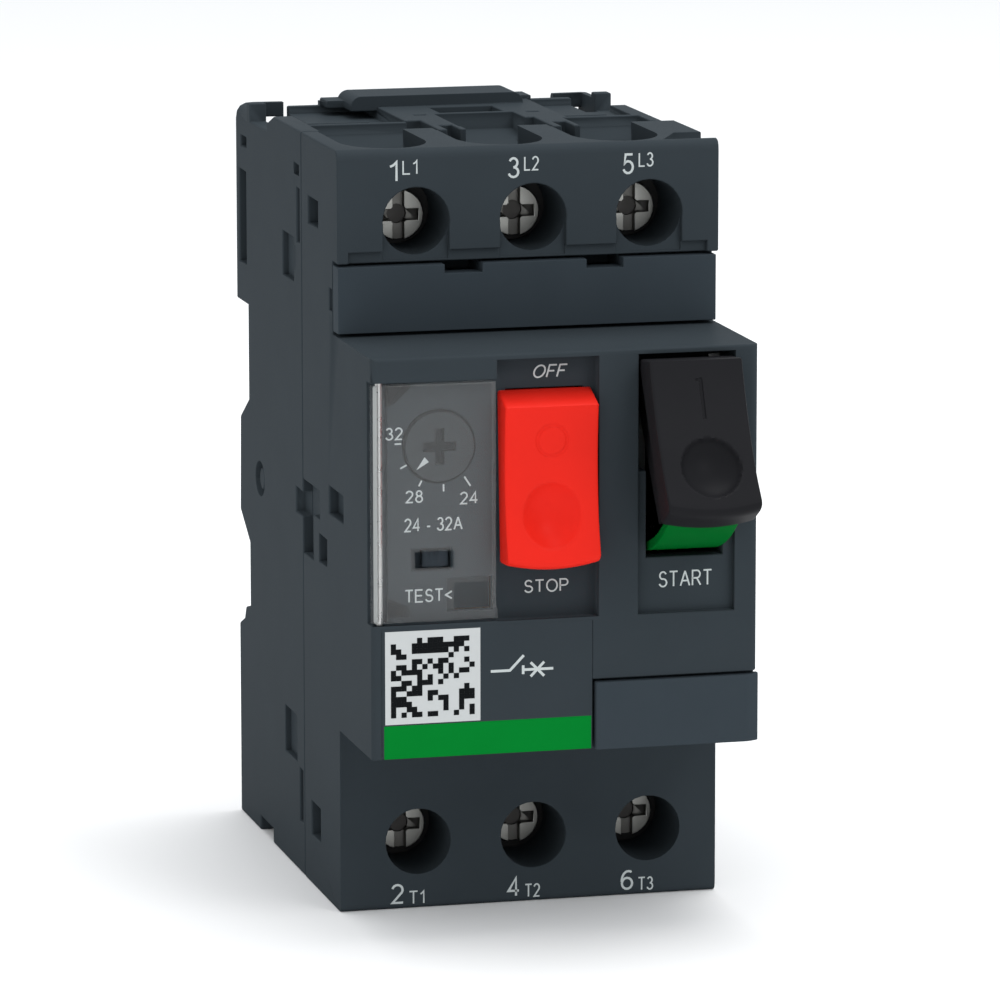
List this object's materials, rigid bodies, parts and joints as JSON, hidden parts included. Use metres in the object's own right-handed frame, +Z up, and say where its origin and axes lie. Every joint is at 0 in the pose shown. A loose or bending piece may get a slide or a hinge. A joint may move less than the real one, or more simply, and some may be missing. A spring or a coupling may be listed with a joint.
{
  "type": "motor protection circuit breaker",
  "caption": "Modular push-button motor protection breaker that clips on a 35 mm rail, with start and stop buttons, a setting dial under a clear cover and screw terminals.",
  "frame": {"origin": "middle of the 35 mm rail, on the plane of the device's rail seat, midway between its sides", "axes": "+X to the right seen from the front, +Y from the front towards the rail, +Z up along the rail-mounted device"},
  "size_m": [0.0448, 0.0828, 0.0889],
  "materials": {
    "housing_plastic": "fine moulded texture, satin",
    "strip_plastic": "fine moulded texture, satin",
    "label": "printed film",
    "black_button_plastic": "smooth, semi-gloss",
    "green_plastic": "smooth, semi-gloss",
    "red_button_plastic": "smooth, semi-gloss",
    "steel": "ground pin",
    "clear_plastic": "clear moulded cover",
    "dial_plastic": "smooth, satin",
    "grey_plastic": "moulded, matt",
    "inner_plastic": "moulded, matt",
    "spring_steel": "drawn wire",
    "copper": "stamped copper, tin-plated clamps",
    "plated_steel": "stamped, plated",
    "bimetal_alloy": "rolled strip",
    "terminal_steel": "nickel-plated, dull"
  },
  "bodies": {
    "housing": {"rear_base": "housing_plastic", "front_cover": "housing_plastic", "accessory_strip": "strip_plastic", "marker_plate": "strip_plastic", "rating_label": "label", "button_shaft": "steel", "cover_hinge_pin": "steel", "lever_pin": "steel", "lever_spring": "spring_steel", "clip_spring": "spring_steel", "line_conductor_1": "copper", "line_conductor_2": "copper", "line_conductor_3": "copper", "load_conductor_1": "copper", "load_conductor_2": "copper", "load_conductor_3": "copper", "arc_chute_1": "plated_steel", "arc_chute_2": "plated_steel", "arc_chute_3": "plated_steel", "trip_coil_1": "copper", "trip_coil_2": "copper", "trip_coil_3": "copper", "bimetal_1": "bimetal_alloy", "bimetal_2": "bimetal_alloy", "bimetal_3": "bimetal_alloy"},
    "start": {"start_button": "black_button_plastic", "start_indicator_skirt": "green_plastic"},
    "stop": {"stop_button": "red_button_plastic"},
    "start_link": {"start_link": "grey_plastic"},
    "stop_link": {"stop_link": "grey_plastic"},
    "lever": {"drive_lever": "grey_plastic"},
    "carrier": {"contact_carrier": "inner_plastic", "moving_contact_1": "copper", "moving_contact_2": "copper", "moving_contact_3": "copper", "contact_spring_1": "spring_steel", "contact_spring_2": "spring_steel", "contact_spring_3": "spring_steel"},
    "trip_bar": {"trip_bar": "grey_plastic"},
    "cover": {"setting_cover": "clear_plastic"},
    "dial": {"setting_dial": "dial_plastic"},
    "test": {"test_slider": "grey_plastic"},
    "clip": {"rail_clip": "inner_plastic"},
    "striker_1": {"coil_striker_1": "plated_steel"},
    "striker_2": {"coil_striker_2": "plated_steel"},
    "striker_3": {"coil_striker_3": "plated_steel"},
    "clamp_1": {"clamp_plate_1": "terminal_steel"},
    "screw_1": {"terminal_screw_1": "terminal_steel"},
    "clamp_3": {"clamp_plate_3": "terminal_steel"},
    "screw_3": {"terminal_screw_3": "terminal_steel"},
    "clamp_5": {"clamp_plate_5": "terminal_steel"},
    "screw_5": {"terminal_screw_5": "terminal_steel"},
    "clamp_2": {"clamp_plate_2": "terminal_steel"},
    "screw_2": {"terminal_screw_2": "terminal_steel"},
    "clamp_4": {"clamp_plate_4": "terminal_steel"},
    "screw_4": {"terminal_screw_4": "terminal_steel"},
    "clamp_6": {"clamp_plate_6": "terminal_steel"},
    "screw_6": {"terminal_screw_6": "terminal_steel"}
  },
  "joints": [
    {"name": "start_press", "type": "hinge", "parent": "housing", "child": "start", "pos_m": [0.01395, -0.0579, 0.0193], "axis": [1, 0, 0], "range_deg": [0, 26.1]},
    {"name": "stop_rise", "type": "hinge", "parent": "housing", "child": "stop", "pos_m": [-0.00203, -0.0579, 0.0193], "axis": [1, 0, 0], "range_deg": [-14, 0]},
    {"name": "start_link_slide", "type": "slide", "parent": "housing", "child": "start_link", "axis": [0, 1, 0], "range_m": [0, 0.0031]},
    {"name": "stop_link_slide", "type": "slide", "parent": "housing", "child": "stop_link", "axis": [0, 1, 0], "range_m": [-0.0015, 0]},
    {"name": "lever_tilt", "type": "hinge", "parent": "housing", "child": "lever", "pos_m": [0.0069, -0.032, 0.0054], "axis": [1, 0, 0], "range_deg": [-25, 0]},
    {"name": "carrier_slide", "type": "slide", "parent": "housing", "child": "carrier", "axis": [0, 1, 0], "range_m": [-0.0025, 0]},
    {"name": "trip_bar_turn", "type": "hinge", "parent": "housing", "child": "trip_bar", "pos_m": [0, -0.0385, 0.008], "axis": [1, 0, 0], "range_deg": [-10, 0], "stiffness_Nm_per_rad": 0.0002},
    {"name": "cover_swing", "type": "hinge", "parent": "housing", "child": "cover", "pos_m": [-0.0212, -0.06395, 0.00515], "axis": [0, 0, -1], "range_deg": [0, 110]},
    {"name": "dial_turn", "type": "hinge", "parent": "housing", "child": "dial", "pos_m": [-0.0141, -0.0625, 0.0112], "axis": [0, -1, 0], "range_deg": [-49, 84]},
    {"name": "test_slide", "type": "slide", "parent": "housing", "child": "test", "axis": [-1, 0, 0], "range_m": [0, 0.0013], "stiffness_N_per_m": 50},
    {"name": "clip_slide", "type": "slide", "parent": "housing", "child": "clip", "axis": [0, 0, -1], "range_m": [0, 0.003], "stiffness_N_per_m": 100, "deforming": ["clip_spring"]},
    {"name": "striker_rise_1", "type": "slide", "parent": "housing", "child": "striker_1", "axis": [0, 0, 1], "range_m": [0, 0.0012]},
    {"name": "striker_rise_2", "type": "slide", "parent": "housing", "child": "striker_2", "axis": [0, 0, 1], "range_m": [0, 0.0012]},
    {"name": "striker_rise_3", "type": "slide", "parent": "housing", "child": "striker_3", "axis": [0, 0, 1], "range_m": [0, 0.0012]},
    {"name": "clamp_close_1", "type": "slide", "parent": "housing", "child": "clamp_1", "axis": [0, 1, 0], "range_m": [0, 0.0035]},
    {"name": "screw_turn_1", "type": "hinge", "parent": "clamp_1", "child": "screw_1", "pos_m": [-0.0131, -0.0365, 0.034], "axis": [0, 1, 0], "range_deg": [0, 1800]},
    {"name": "clamp_close_3", "type": "slide", "parent": "housing", "child": "clamp_3", "axis": [0, 1, 0], "range_m": [0, 0.0035]},
    {"name": "screw_turn_3", "type": "hinge", "parent": "clamp_3", "child": "screw_3", "pos_m": [0.0005, -0.0365, 0.034], "axis": [0, 1, 0], "range_deg": [0, 1800]},
    {"name": "clamp_close_5", "type": "slide", "parent": "housing", "child": "clamp_5", "axis": [0, 1, 0], "range_m": [0, 0.0035]},
    {"name": "screw_turn_5", "type": "hinge", "parent": "clamp_5", "child": "screw_5", "pos_m": [0.0141, -0.0365, 0.034], "axis": [0, 1, 0], "range_deg": [0, 1800]},
    {"name": "clamp_close_2", "type": "slide", "parent": "housing", "child": "clamp_2", "axis": [0, 1, 0], "range_m": [0, 0.0035]},
    {"name": "screw_turn_2", "type": "hinge", "parent": "clamp_2", "child": "screw_2", "pos_m": [-0.0131, -0.0365, -0.03715], "axis": [0, 1, 0], "range_deg": [0, 1800]},
    {"name": "clamp_close_4", "type": "slide", "parent": "housing", "child": "clamp_4", "axis": [0, 1, 0], "range_m": [0, 0.0035]},
    {"name": "screw_turn_4", "type": "hinge", "parent": "clamp_4", "child": "screw_4", "pos_m": [0.0005, -0.0365, -0.03715], "axis": [0, 1, 0], "range_deg": [0, 1800]},
    {"name": "clamp_close_6", "type": "slide", "parent": "housing", "child": "clamp_6", "axis": [0, 1, 0], "range_m": [0, 0.0035]},
    {"name": "screw_turn_6", "type": "hinge", "parent": "clamp_6", "child": "screw_6", "pos_m": [0.0141, -0.0365, -0.03715], "axis": [0, 1, 0], "range_deg": [0, 1800]}
  ],
  "couplings": [
    {"joint": "stop_rise", "follows": "start_press", "ratio": -0.5363},
    {"joint": "start_link_slide", "follows": "start_press", "m_per_rad": 0.006805},
    {"joint": "stop_link_slide", "follows": "start_press", "m_per_rad": -0.003293},
    {"joint": "lever_tilt", "follows": "start_press", "ratio": -0.9577},
    {"joint": "carrier_slide", "follows": "start_press", "m_per_rad": -0.005488},
    {"joint": "screw_turn_1", "follows": "clamp_close_1", "rad_per_m": 8976},
    {"joint": "screw_turn_3", "follows": "clamp_close_3", "rad_per_m": 8976},
    {"joint": "screw_turn_5", "follows": "clamp_close_5", "rad_per_m": 8976},
    {"joint": "screw_turn_2", "follows": "clamp_close_2", "rad_per_m": 8976},
    {"joint": "screw_turn_4", "follows": "clamp_close_4", "rad_per_m": 8976},
    {"joint": "screw_turn_6", "follows": "clamp_close_6", "rad_per_m": 8976}
  ]
}
